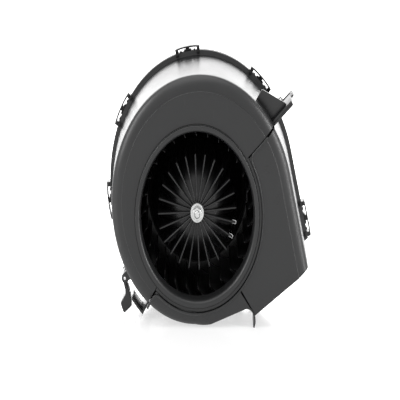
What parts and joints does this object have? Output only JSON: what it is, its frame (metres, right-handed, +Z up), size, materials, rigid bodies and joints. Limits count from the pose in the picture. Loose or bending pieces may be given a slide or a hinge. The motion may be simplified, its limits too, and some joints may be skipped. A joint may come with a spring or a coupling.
{
  "type": "centrifugal heater blower",
  "caption": "Scroll-cased centrifugal blower for a vehicle heater, with a round front inlet, a squirrel-cage wheel, a direct-current motor and a side outlet.",
  "frame": {"origin": "on the fan axis, at the inlet's front rim", "axes": "+X right and +Z up as seen from the front, +Y to the rear along the fan axis"},
  "size_m": [0.2467, 0.132, 0.2093],
  "materials": {
    "casing_plastic": "moulded, fine grain, slightly glossy",
    "clip_plastic": "moulded",
    "wheel_plastic": "moulded",
    "spring_steel": "bright",
    "zinc_steel": "zinc plated",
    "can_steel": "zinc plated sheet",
    "core_steel": "stacked sheets",
    "ferrite": "sintered ferrite, dull",
    "bronze": "sintered",
    "copper": "enamelled wire",
    "carbon": "pressed carbon",
    "brush_board": "pressed resin board",
    "washer_plastic": "nylon",
    "connector_plastic": "natural nylon",
    "lead_sleeve": "PVC sleeve",
    "rubber": "dull"
  },
  "bodies": {
    "casing": {"inlet_bell": "casing_plastic", "inlet_casing": "casing_plastic", "inlet_wall": "casing_plastic", "outlet_casing": "casing_plastic", "outlet_wall": "casing_plastic", "rear_casing": "casing_plastic", "flange_seal": "rubber", "flange_clips": "clip_plastic", "seam_clip": "spring_steel", "latch_pin": "spring_steel", "cooling_duct": "casing_plastic", "motor_can": "can_steel", "magnets": "ferrite", "front_bearing": "bronze", "rear_bearing": "bronze", "brush_plate": "brush_board", "brushes": "carbon", "brush_springs": "spring_steel", "motor_end_cap": "can_steel", "end_cap_screws": "zinc_steel", "motor_bracket": "can_steel", "isolators": "rubber", "bracket_screws": "zinc_steel", "connector_housing": "connector_plastic", "terminals": "bronze", "motor_leads": "lead_sleeve"},
    "rotor": {"impeller": "wheel_plastic", "hub_fins": "wheel_plastic", "fan_blades": "wheel_plastic", "front_rim": "wheel_plastic", "hub_washer": "zinc_steel", "shaft_nut": "zinc_steel", "balance_clips": "spring_steel", "motor_shaft": "zinc_steel", "thrust_washers": "washer_plastic", "armature_core": "core_steel", "windings": "copper", "commutator": "copper"},
    "latch": {"latch_lever": "clip_plastic"}
  },
  "joints": [
    {"name": "wheel_spin", "type": "hinge", "parent": "casing", "child": "rotor", "pos_m": [0, 0.06, 0], "axis": [0, 1, 0], "continuous": true},
    {"name": "latch_swing", "type": "hinge", "parent": "casing", "child": "latch", "pos_m": [-0.08395, 0.036, -0.05607], "axis": [0, 1, 0], "range_deg": [0, 75]}
  ]
}
